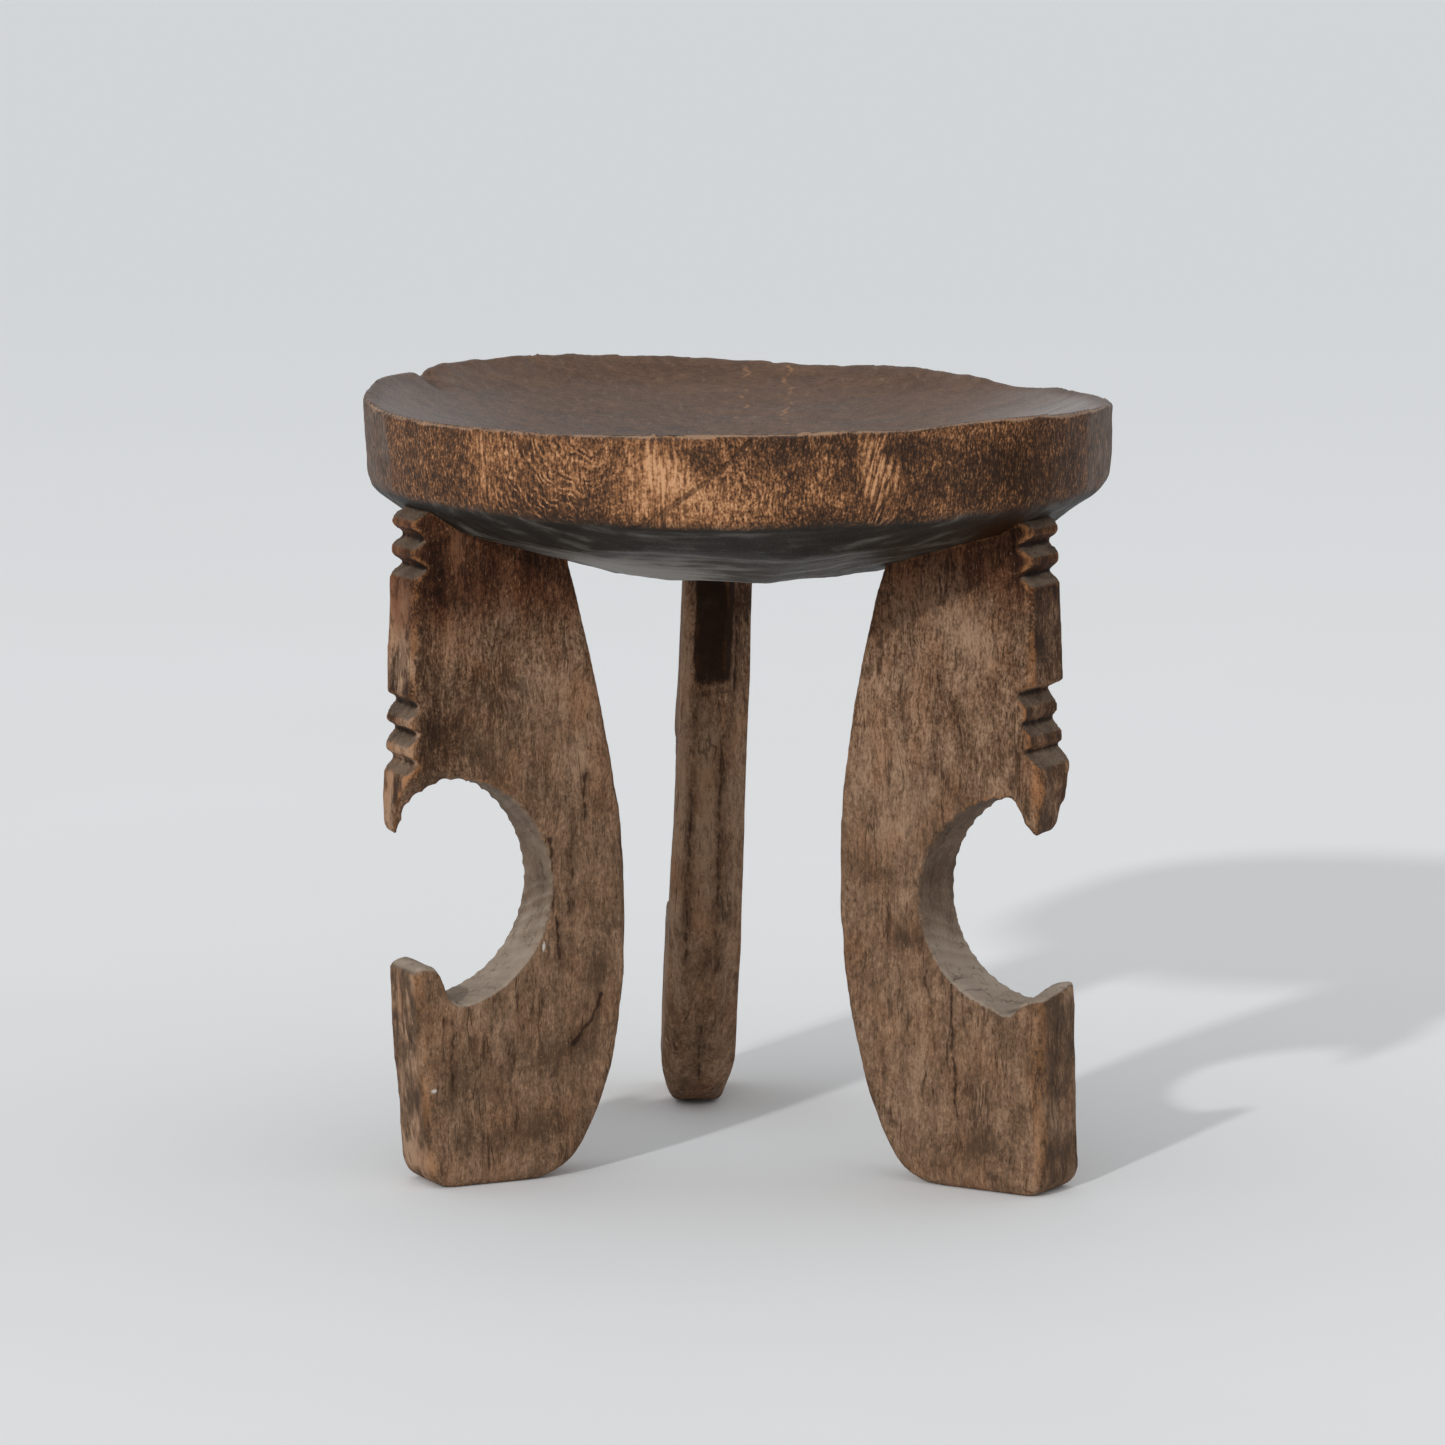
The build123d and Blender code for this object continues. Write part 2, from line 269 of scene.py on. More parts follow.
# ---------------------------------------------------------------- seat
def carve_seat():
    seat = Carving("seat", "carved_seat", SEAT_VOXEL)
    x, y, z = seat.points.T
    radius = np.hypot(x, y)
    below = rise(seat.normals()[:, 2], 0.05, -0.3) * rise(z, RIM_TOP - 20, RIM_TOP - 36)

    # The underside is chopped in flat facets: its cone becomes an uneven many-sided pyramid.
    turns = np.arange(FACETS)
    facets = np.radians(turns * 360 / FACETS + 9 * np.sin(turns * 2.3))
    flat_radius = np.max(np.outer(x, np.cos(facets)) + np.outer(y, np.sin(facets)), axis=1)
    seat.points[:, 2] -= below * UNDER_SLOPE * (radius - flat_radius) * rise(radius, 148, 125)
    seat.points = seat.spread(seat.points, 2)

    x, y, z = seat.points.T
    radius = np.hypot(x, y)
    bearing = np.degrees(np.arctan2(y, x))  # 0 to the right, -90 to the front
    normal = seat.normals()
    outer = rise(radius, SEAT_RADIUS - 9, SEAT_RADIUS - 3)
    wall = outer * rise(np.abs(normal[:, 2]), 0.75, 0.4)
    across = np.arctan2(x, -y) * SEAT_RADIUS  # along the wall, from the middle of the front
    height = z - WALL_FOOT
    around = np.stack((x, y, 0 * x), axis=1) * (SEAT_RADIUS / np.maximum(radius, 1))[:, None]

    # The rim rises and dips along its length, with a nick at the back left and a step at the right.
    rim = 0.25 * ripple(around, 26, 7)
    for centre, reach, rise_by in RIM_SHAPE:
        rim += rise_by * hump(bearing, centre, reach)
    back = rise(bearing, 44, 46.5) * rise(bearing, 152, 144)
    rim += back * (1.6 + 0.6 * ripple(around, 19, 5) + 0.55 * ripple(around, 6, 6))
    high = rise(z, RIM_TOP - 22, RIM_TOP - 5) * rise(radius, SEAT_RADIUS - 22, SEAT_RADIUS - 6)
    seat.points[:, 2] += rim * high

    # The wall's lower edge wanders too.
    low = hump(height, 2, 7) * outer
    sag = -1.2 * hump(bearing, -90, 32) + 1.0 * hump(bearing, -150, 14)
    seat.points[:, 2] += low * (sag + 0.7 * ripple(around, 15, 8) + 0.3 * ripple(around, 5, 15))

    rough = 0.6 * ripple(seat.points, 20, 9) + 0.3 * ripple(seat.points, (5, 5, 8), 10)
    rough += 0.2 * ripple(seat.points, (2.6, 2.6, 6), 11)
    drift = 1.6 * ripple(seat.points, 9, 17)
    crack = from_line(across + drift, height + drift, CRACK)
    rough -= 0.6 * rise(crack, 1.5, 0.2)
    seat.swell(wall * rough)
    inside = rise(normal[:, 2], 0.6, 0.85) * rise(radius, SEAT_RADIUS - 2, SEAT_RADIUS - 14)
    seat.swell(inside * 0.3 * ripple(seat.points, (60, 22, 30), 12))
    seat.swell(below * (0.4 * ripple(seat.points, 16, 13) + 0.2 * ripple(seat.points, 5, 14)))
    seat.wander()

    # Zones and placed marks that the material reads.
    seat.mark("dish", rise(normal[:, 2], 0.35, 0.7) * rise(height, 0, 6))
    seat.mark("under", rise(normal[:, 2], -0.3, -0.6))
    seat.mark("across", across)
    seat.mark("crack", np.where(y < 0, crack, FAR))
    seat.mark("swirl", np.hypot(across - SWIRL[0], 1.1 * (height - SWIRL[1])))
    seat.mark("swirled", hump(across, -84, 30) * rise(across, -48, -62))
    strokes = np.max([hump(across, place, reach) for place, reach in STROKES], axis=0)
    seat.mark("strokes", np.maximum(strokes, 0.9 * hump(across, -112, 6)))
    seat.mark("slant", hump(across, SLANTED, 14))
    bared = 0.12 + 0.25 * rise(np.abs(across), 150, 250) * ripple(around, 45, 16)
    for place, level, width, depth, amount in BARED:
        bared = bared + amount * hump(across, place, width) * hump(height, level, depth)
    seat.mark("bared", bared)
    # Painted reflection: a grey sheen on the dish's inner slopes at the left and right.
    painted_reflection = hump(np.abs(bearing), 180, 30) + 2.6 * hump(bearing, 5, 24)
    painted_reflection *= rise(radius, 92, 128) * rise(radius, SEAT_RADIUS - 2, SEAT_RADIUS - 10)
    seat.mark("painted_reflection", painted_reflection)
    seat.mark("streaked", hump(x, -48, 34) * hump(y, -68, 30))
    # Painted shade on the underside at the front right, between the wall's foot and the right leg.
    seat.mark("front_right_shade", hump(x, 106, 20) * hump(y, -92, 28))
    normal = seat.normals()
    # Painted highlight along the front of the rim's top edge.
    lip_highlight = rise(normal[:, 2], 0.15, 0.45) * rise(normal[:, 2], 0.98, 0.85)
    seat.mark("lip_highlight", lip_highlight * rise(radius, SEAT_RADIUS - 7, SEAT_RADIUS - 4) * rise(y, 10, -40))
    seat.mark_relief()
    seat.finish("seat_wood")
    return seat.piece




# ---------------------------------------------------------------- legs
class LegCarving(Carving):
    """A leg, with its own directions: along is outward from the seat's axis, aside is across it."""

    def __init__(self, node, front, worn):
        super().__init__(node, "carved_" + node, LEG_VOXEL)
        self.front, self.worn = front, worn
        plan, height = self.points[:, :2], self.points[:, 2]
        band = plan[(height > 205) & (height < 240)]
        directions = np.linalg.eigh(np.cov((band - band.mean(axis=0)).T))[1]
        self.outward = directions[:, -1] * np.sign(directions[:, -1] @ band.mean(axis=0))
        self.sideways = np.array((-self.outward[1], self.outward[0]))
        broad = (np.abs(self.normals()[:, :2] @ self.sideways) > 0.95) & (height < 240)
        aside = plan @ self.sideways
        one, other = broad & (aside > aside.mean()), broad & (aside < aside.mean())
        one_line = np.polyfit(height[one], aside[one], 1)
        other_line = np.polyfit(height[other], aside[other], 1)
        self.middle_line = (one_line + other_line) / 2
        self.half_line = (one_line - other_line) / 2
        self.measure_edges()
        self.measure_opening()

    @property
    def height(self):
        return self.points[:, 2]

    @property
    def along(self):
        return self.points[:, :2] @ self.outward

    @property
    def aside(self):
        """Distance from the leg's middle plane, towards the front."""
        offset = self.points[:, :2] @ self.sideways - np.polyval(self.middle_line, self.height)
        return offset * self.front

    @property
    def half(self):
        """Half the leg's thickness."""
        return np.polyval(self.half_line, self.height)

    def shift(self, along, aside):
        """Moves the vertices level by these amounts, aside towards the front."""
        self.points[:, :2] += np.outer(along, self.outward)
        self.points[:, :2] += np.outer(aside * self.front, self.sideways)

    def measure_edges(self):
        """The inner and the outer edge's distance from the axis at steps of height."""
        step = 3.0
        self.levels = np.arange(step, 250, step)
        inner, outer = [], []
        for level in self.levels:
            inner.append(self.along[np.abs(self.height - level) < step].min())
            outer.append(self.along[np.abs(self.height - level) < 3 * step].max())
        self.inner_edge, outer = np.array(inner), np.array(outer)
        whole = outer > outer.max() - 14  # the levels beside the opening have no outer edge
        self.outer_edge = np.interp(self.levels, self.levels[whole], outer[whole])

    @property
    def from_inner(self):
        return self.along - np.interp(self.height, self.levels, self.inner_edge)

    @property
    def from_outer(self):
        return np.interp(self.height, self.levels, self.outer_edge) - self.along

    def measure_opening(self):
        """Fits a circle to the wall of the C-shaped opening, and finds the tips beside it."""
        facing = self.normals()[:, :2] @ self.outward
        wall = (facing > 0.35) & (self.height > 75) & (self.height < 165)
        wall &= self.along < self.outer_edge.max() - 28
        a, h = self.along[wall], self.height[wall]
        table = np.stack((a, h, np.ones(len(a))), axis=1)
        fitted = np.linalg.lstsq(table, a * a + h * h, rcond=None)[0]
        self.cut_along, self.cut_height = fitted[0] / 2, fitted[1] / 2
        self.cut_radius = np.sqrt(fitted[2] + self.cut_along**2 + self.cut_height**2)
        tips = self.from_outer < 8
        self.spike_tip = self.height[tips & (self.height > self.cut_height)].min()
        self.hook_top = self.height[tips & (self.height < self.cut_height)].max()

    def from_cut(self):
        """Each vertex's distance from the opening's centre, and the angle there."""
        a, h = self.along - self.cut_along, self.height - self.cut_height
        return np.hypot(a, h), np.arctan2(h, a)

    def in_spike(self):
        """1 in the spike that hangs beside the opening."""
        inside = rise(self.height, self.spike_tip + 28, self.spike_tip + 22)
        inside *= rise(self.along, self.cut_along - 10, self.cut_along + 2)
        return inside * rise(self.height, self.cut_height, self.cut_height + 8)

    def in_hook(self):
        """1 in the hook raised below the opening."""
        inside = rise(self.height, self.hook_top - 16, self.hook_top - 6)
        inside *= rise(self.height, self.cut_height, self.cut_height - 8)
        return inside * rise(self.from_outer, 26, 14)

    def taper(self, start, least, from_outer, aside):
        """Rounds the spike's end towards a point this far from the leg's outer face."""
        drop = np.clip((self.spike_tip + start - self.height) / start, 0, 1)
        share = self.in_spike() * (1 - np.sqrt(1 - drop**2)) * (1 - least)
        edge = np.interp(self.spike_tip + start, self.levels, self.outer_edge)
        self.shift((edge - from_outer - self.along) * share, (aside * self.half - self.aside) * share)

    def bevel(self, side, size):
        """Bevels the inner edge's corner on one side: +1 is the front."""
        room = self.from_inner + self.half - side * self.aside
        lack = np.clip(size - room, 0, None) / 2
        lack *= rise(self.from_inner, 40, 30)
        self.shift(lack, -side * lack)

    def ease(self):
        """Wears the inner edge, the foot and the tips round, but keeps their reach."""
        inner = rise(self.from_inner, 13, 5) * rise(self.height, 240, 225)
        foot = rise(self.height, 13, 4)
        tip = self.in_spike() * rise(self.height, self.spike_tip + 13, self.spike_tip + 5)
        hook = self.in_hook() * rise(self.height, self.hook_top - 9, self.hook_top - 4)
        share = 0.5 * np.max((self.worn * inner, foot, tip, 0.8 * hook), axis=0)
        lowest = self.height[tip > 0.5].min()
        highest = self.height[hook > 0.5].max()
        self.points = self.spread(self.points, round(16 / self.voxel), share)
        self.points[:, 2] += tip * (lowest - self.height[tip > 0.5].min())
        self.points[:, 2] += hook * (highest - self.height[hook > 0.5].max())
        self.points = self.spread(self.points, 2)
        self.points[:, 2] -= self.height.min() * rise(self.height, 12, 2)


@dataclass(frozen=True)
class LegLook:
    """What differs from leg to leg."""

    node: str
    seed: int
    front: int  # +1 or -1: the side that faces forward, or the rear leg's right side
    worn: float  # how much its inner edge is worn round, 0 to 1
    work: Callable  # shapes what only this leg shows
    veins: tuple
    patches: tuple
    upper_outer_tone_and_shade: float  # how pale its outer edge is above the opening; the right leg's darker values are painted shade, as that face turns from the light,
    lower_outer_tone_and_shade: float  # and below it
    mottled: float  # and how uneven
    shade: float  # how dark the wall of its opening is
    specks: tuple = ()


def carve_leg(look):
    leg = LegCarving(look.node, look.front, look.worn)
    seed = look.seed
    look.work(leg)
    leg.settle()
    leg.ease()
    height, along, aside = leg.height, leg.along, leg.aside
    # The front legs are seen from the side, the rear leg from its inner edge.
    rear = look.node == "leg_rear"
    place, seen = (aside, rise(leg.from_inner, 16, 9)) if rear else (along, rise(aside, -6, 2))
    normal = leg.normals()
    flat = np.abs(normal[:, :2] @ leg.sideways)
    outward = normal[:, :2] @ leg.outward

    # Gouge marks round the opening's wall.
    distance, angle = leg.from_cut()
    inward = -(outward * np.cos(angle) + normal[:, 2] * np.sin(angle))
    in_cut = rise(distance, leg.cut_radius + 8, leg.cut_radius + 4) * rise(inward, 0.2, 0.6)
    arc = angle * leg.cut_radius + 0.35 * aside + 2.0 * ripple(leg.points, 20, seed)
    scallop = np.abs(np.sin(pi * arc / GOUGE_PITCH)) ** 0.8 - 0.6
    depth = 0.45 + 0.4 * rise(np.sin(angle), 0.3, 0.9)
    leg.swell(-in_cut * scallop * depth)

    # Broad faces: shallow adze facets and open vertical grain.
    open_face = rise(flat, 0.5, 0.8)
    rough = 0.45 * ripple(leg.points, (22, 22, 30), seed + 1)
    rough += 0.16 * ripple(leg.points, (6, 6, 18), seed + 2)
    rough += 0.14 * ripple(leg.points, (2.2, 2.2, 14), seed + 3)
    rough += 0.08 * ripple(leg.points, (1.8, 1.8, 4), seed + 4)
    rest = 0.35 * ripple(leg.points, 12, seed + 5) + 0.15 * ripple(leg.points, (2.4, 2.4, 7), seed + 6)
    leg.swell((open_face * rough + (1 - open_face) * rest * (1 - in_cut)) * rise(height, 1, 8))

    stray_place = 1.5 * ripple(leg.points, 8, seed + 7) + 0.7 * ripple(leg.points, 3, seed + 8)
    stray_place *= 0.4 if rear else 1
    stray_height = 1.5 * ripple(leg.points, 8, seed + 9)
    vein = np.full(len(height), FAR)
    for faint, line in look.veins:
        near = from_line(place + stray_place, height + stray_height, line)
        vein = np.minimum(vein, near + faint)
    vein = np.where(seen > 0.5, vein, FAR)
    leg.swell(-0.4 * rise(vein, 1.3, 0.2))
    leg.wander()
    leg.points[:, 2] += LEG_BURY * rise(leg.height, 225, 245)
    leg.points[:, 2] = np.maximum(leg.height, 0)

    tone = np.zeros(len(height))
    for centre, level, width, depth, amount in look.patches:
        tone += amount * hump(place, centre, width) * hump(height, level, depth)
    tone = tone * seen
    if rear:
        # Painted shadow of the seat at the top of the rear leg's inner edge, darker still higher up.
        seat_shadow = rise(np.abs(aside - SEAT_SHADOW_MIDDLE + stray_place), SEAT_SHADOW_HALF + 0.7, SEAT_SHADOW_HALF - 0.7)
        seat_shadow *= rise(height + stray_height, SEAT_SHADOW_FOOT - 1.5, SEAT_SHADOW_FOOT + 1.5)
        tone -= (0.95 + 0.4 * rise(height, 198, 214)) * seat_shadow * seen
    # Outer faces: tone and mottle, with painted shade on the right leg's.
    outer = rise(outward, 0.4, 0.8) * rise(leg.from_outer, 16, 10)
    outer_tone_and_shade = np.where(height > leg.cut_height, look.upper_outer_tone_and_shade, look.lower_outer_tone_and_shade)
    outer_tone_and_shade = outer_tone_and_shade + look.mottled * ripple(leg.points, (7, 7, 13), seed + 10)
    tone += outer * (outer_tone_and_shade + 0.6 * look.mottled * ripple(leg.points, (2.6, 2.6, 4), seed + 11))
    shaded = look.shade * in_cut * rise(normal[:, 2], 0.6, 0.1)
    tone -= 0.8 * shaded
    width = np.where(height > leg.cut_height, 4.2, 7.5)
    corner = rise((leg.from_outer + leg.half - aside) / width, 1, 0.4) * rise(leg.from_outer, 6, 4)
    leg.mark("tone", tone)
    leg.mark("vein", vein)
    leg.mark("cut", (in_cut - shaded) * (1 - 0.8 * leg.in_spike()))
    leg.mark("corner", corner)
    speck = np.zeros(len(height))
    for centre, level, width, depth in look.specks:
        speck += hump(place, centre, width) * hump(height, level, depth)
    leg.mark("speck", speck * (aside > 0))
    leg.mark_relief()
    leg.finish("leg_wood")
    return leg.piece


def work_left(leg):
    """The spike is thinned from the front, so that its tip lies towards the back."""
    spike = leg.in_spike()
    thin = 0.88 * rise(leg.height, leg.spike_tip + 27, leg.spike_tip + 7)
    narrow = 0.55 * rise(leg.height, leg.spike_tip + 25, leg.spike_tip + 10)
    leg.shift(leg.from_outer * narrow * spike, -np.clip(leg.aside, 0, None) * thin * spike)
    leg.taper(start=8, least=0.4, from_outer=4.5, aside=-0.5)
    leg.points[:, 2] -= 2.4 * leg.in_spike() * rise(leg.height, leg.spike_tip + 15, leg.spike_tip)
    top = leg.in_hook() * rise(leg.height, leg.hook_top - 12, leg.hook_top - 5)
    leg.points[:, 2] += top * (2.0 * hump(leg.from_outer, 12, 6) - 2.6 * hump(leg.from_outer, 0, 3.5))


def work_right(leg):
    """The spike narrows from the back and bulges outward; the hook's top slants up to the back."""
    spike = leg.in_spike()
    thin = 0.3 * rise(leg.height, leg.spike_tip + 35, leg.spike_tip + 17)
    thin += 0.3 * rise(leg.height, leg.spike_tip + 13, leg.spike_tip + 9)
    leg.shift(0 * thin, np.clip(-leg.aside, 0, None) * thin * spike)
    leg.taper(start=9, least=0.45, from_outer=6.5, aside=0.25)
    bulge = 2.3 * hump(leg.height, leg.spike_tip + 22, 10) * rise(leg.from_outer, 16, 4)
    leg.shift(bulge, 0 * bulge)
    leg.points[:, 2] -= 4.0 * leg.in_hook() * rise(leg.aside, -leg.half, leg.half)


def work_rear(leg):
    """The spike is rounded. The inner edge is bevelled, more on the right, and torn down the middle."""
    leg.taper(start=9, least=0.45, from_outer=6.5, aside=0.0)
    leg.bevel(side=1, size=11.0)
    leg.bevel(side=-1, size=7.0)
    middle = rise(leg.from_inner, 6, 2) * hump(leg.aside, 0, 7) * rise(leg.height, 70, 110)
    torn = ripple(leg.points, (4, 4, 26), 71) + 0.6 * ripple(leg.points, (2.5, 2.5, 9), 72)
    leg.shift(middle * (0.5 + 0.9 * torn), 0 * torn)
    narrow = 0.34 * rise(leg.height, 24, -4)
    leg.shift(0 * narrow, -leg.aside * narrow)



seat_piece = carve_seat()
LEGS = (
    LegLook(
        node="leg_left", seed=20, front=1, worn=0.8, work=work_left,
        veins=LEFT_VEINS, patches=LEFT_PATCHES, specks=LEFT_SPECKS,
        upper_outer_tone_and_shade=0.22, lower_outer_tone_and_shade=-0.1, mottled=0.85, shade=0.0,
    ),
    LegLook(
        node="leg_right", seed=40, front=-1, worn=0.8, work=work_right,
        veins=RIGHT_VEINS, patches=RIGHT_PATCHES,
        # Its outer faces are darkened as painted shade: they face away from the light.
        upper_outer_tone_and_shade=-0.3, lower_outer_tone_and_shade=-0.22, mottled=0.4, shade=0.5,
    ),
    LegLook(
        node="leg_rear", seed=60, front=-1, worn=0.1, work=work_rear,
        veins=REAR_VEINS, patches=REAR_PATCHES,
        upper_outer_tone_and_shade=0.0, lower_outer_tone_and_shade=0.0, mottled=0.6, shade=0.2,
    ),
)
leg_pieces = [carve_leg(look) for look in LEGS]


# ---------------------------------------------------------------- materials
def tint(red, green, blue):
    """A colour given as screen values, 0 to 255."""
    shares = np.array((red, green, blue)) / 255
    linear = np.where(shares <= 0.04045, shares / 12.92, ((shares + 0.055) / 1.055) ** 2.4)
    return (*linear, 1.0)


class Field:
    """A value inside a material. Arithmetic on it adds math nodes."""

    def __init__(self, paint, socket):
        self.paint, self.socket = paint, socket

    def combine(self, operation, first, second):
        node = self.paint.add("ShaderNodeMath", operation=operation)
        self.paint.feed(node.inputs[0], first)
        self.paint.feed(node.inputs[1], second)
        return Field(self.paint, node.outputs[0])

    def __add__(self, other):
        return self.combine("ADD", self, other)

    def __sub__(self, other):
        return self.combine("SUBTRACT", self, other)

    def __rsub__(self, other):
        return self.combine("SUBTRACT", other, self)

    def __mul__(self, other):
        return self.combine("MULTIPLY", self, other)

    __radd__, __rmul__ = __add__, __mul__

    def sine(self):
        return self.combine("SINE", self, 0.0)

    def size(self):
        return self.combine("ABSOLUTE", self, 0.0)

    def most(self, other):
        return self.combine("MAXIMUM", self, other)

    def rise(self, start, end):
        """0 before start, 1 after end, turning smoothly between them."""
        node = self.paint.add("ShaderNodeMapRange", interpolation_type="SMOOTHSTEP")
        low, high, foot, top = (start, end, 0.0, 1.0) if start < end else (end, start, 1.0, 0.0)
        for name, value in zip(("From Min", "From Max", "To Min", "To Max"), (low, high, foot, top)):
            node.inputs[name].default_value = value
        self.paint.feed(node.inputs["Value"], self)
        return Field(self.paint, node.outputs["Result"])


class Paint:
    """A node material whose patterns are placed in millimetres."""

    def __init__(self, name):
        self.material = bpy.data.materials.new(name)
        self.material.use_nodes = True
        self.tree = self.material.node_tree
        self.tree.nodes.clear()
        place = self.add("ShaderNodeTexCoord").outputs["Object"]
        self.place = self.vector("MULTIPLY", place, (1 / MM,) * 3)
        parts = self.add("ShaderNodeSeparateXYZ")
        self.feed(parts.inputs[0], self.place)
        self.x, self.y, self.z = (Field(self, socket) for socket in parts.outputs)
        facing = self.add("ShaderNodeSeparateXYZ")
        self.feed(facing.inputs[0], self.add("ShaderNodeNewGeometry").outputs["Normal"])
        self.up = Field(self, facing.outputs[2])

    def add(self, kind, **settings):
        node = self.tree.nodes.new(kind)
        for name, value in settings.items():
            setattr(node, name, value)
        return node

    def feed(self, socket, value):
        if isinstance(value, Field):
            value = value.socket
        if isinstance(value, bpy.types.NodeSocket):
            self.tree.links.new(value, socket)
        else:
            socket.default_value = value

    def vector(self, operation, first, second):
        node = self.add("ShaderNodeVectorMath", operation=operation)
        self.feed(node.inputs[0], first)
        self.feed(node.inputs[1], second)
        return node.outputs[0]

    def noise_node(self, size, seed, detail, place):
        scaled = self.vector("DIVIDE", place or self.place, size)
        moved = self.vector("ADD", scaled, (17.3 * seed, 9.1 * seed, 5.7 * seed))
        node = self.add("ShaderNodeTexNoise")
        self.feed(node.inputs["Vector"], moved)
        node.inputs["Scale"].default_value = 1.0
        node.inputs["Detail"].default_value = detail
        return node

    def noise(self, size, seed=0, detail=2.0, place=None):
        """Noise about 0, mostly within -0.3 to 0.3. size is its grain along x, y and z."""
        return Field(self, self.noise_node(size, seed, detail, place).outputs[0]) - 0.5

    def stir(self, size, seed, amount):
        """Places pushed about by up to half the amount."""
        node = self.noise_node(size, seed, 2.0, None)
        centred = self.vector("SUBTRACT", node.outputs[1], (0.5,) * 3)
        push = self.vector("MULTIPLY", centred, (amount,) * 3)
        return self.vector("ADD", self.place, push)

    def lean(self, share):
        """Places shifted sideways in step with their height, so that upright marks slant."""
        push = self.add("ShaderNodeCombineXYZ")
        self.feed(push.inputs[0], share * (self.z - RIM_TOP))
        return self.vector("ADD", self.place, push.outputs[0])

    def cross(self, share, first, second):
        """A value between two others."""
        return first + (second - first) * share

    def mark(self, name):
        """A value that the carving left at each vertex."""
        return Field(self, self.add("ShaderNodeAttribute", attribute_name=name).outputs["Fac"])

    def blend(self, share, first, second, mode="MIX"):
        node = self.add("ShaderNodeMix", data_type="RGBA", blend_type=mode)
        self.feed(node.inputs[0], share)
        self.feed(node.inputs[6], first)
        self.feed(node.inputs[7], second)
        return node.outputs[2]

    def ladder(self, value, steps):
        """Colours spread over a value from 0 to 1."""
        node = self.add("ShaderNodeValToRGB")
        self.feed(node.inputs[0], value)
        band = node.color_ramp
        while len(band.elements) < len(steps):
            band.elements.new(0.5)
        for element, (position, colour) in zip(band.elements, steps):
            element.position = position
            element.color = colour
        return node.outputs[0]

    def coat(self, colour, roughness, height, specular):
        """The finished surface. height is in millimetres."""
        bump = self.add("ShaderNodeBump")
        bump.inputs["Distance"].default_value = 1.0
        self.feed(bump.inputs["Height"], height * MM)
        shader = self.add("ShaderNodeBsdfPrincipled")
        self.feed(shader.inputs["Base Color"], colour)
        self.feed(shader.inputs["Roughness"], roughness)
        self.feed(shader.inputs["Specular IOR Level"], specular)
        self.feed(shader.inputs["Normal"], bump.outputs[0])
        result = self.add("ShaderNodeOutputMaterial")
        self.feed(result.inputs["Surface"], shader.outputs[0])
        return self.material


